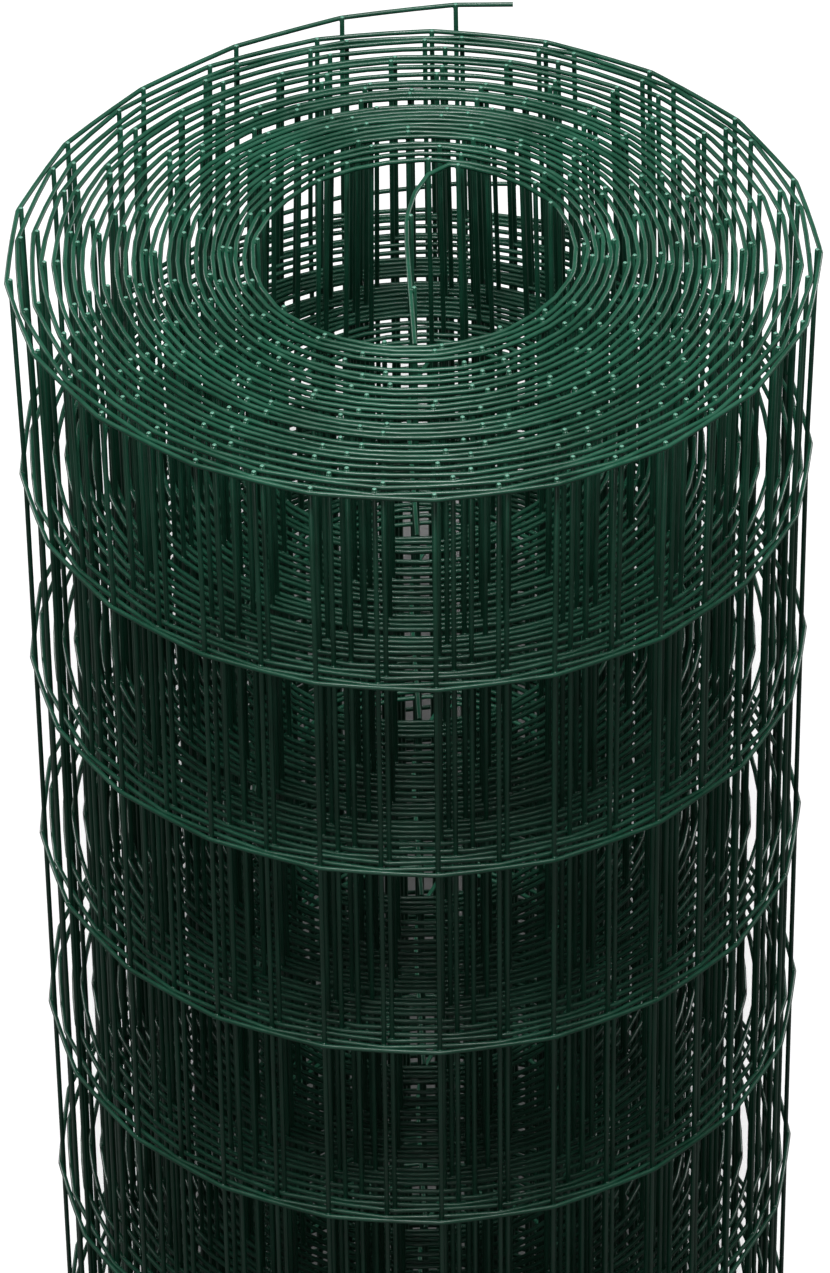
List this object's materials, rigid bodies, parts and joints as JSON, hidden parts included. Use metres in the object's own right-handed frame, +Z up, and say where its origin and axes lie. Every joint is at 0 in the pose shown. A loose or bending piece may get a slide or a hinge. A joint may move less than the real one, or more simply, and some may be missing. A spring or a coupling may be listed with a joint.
{
  "type": "roll of wire fencing",
  "caption": "Roll of plastic-coated welded wire mesh fencing, 1.02 m high and 20 m long, standing on end with a loose outer end.",
  "frame": {"origin": "on the roll's axis, level with the cut wire ends that it stands on", "axes": "+Z up along the roll's axis; +X to the right and +Y away from the viewer of the picture, so the loose outer end is at the back"},
  "size_m": [0.3348, 0.3521, 1.02],
  "materials": {
    "green_coating": "semi-gloss green PVC coating over steel wire"
  },
  "bodies": {
    "root": {"wire_mesh_roll": "green_coating"}
  },
  "joints": []
}
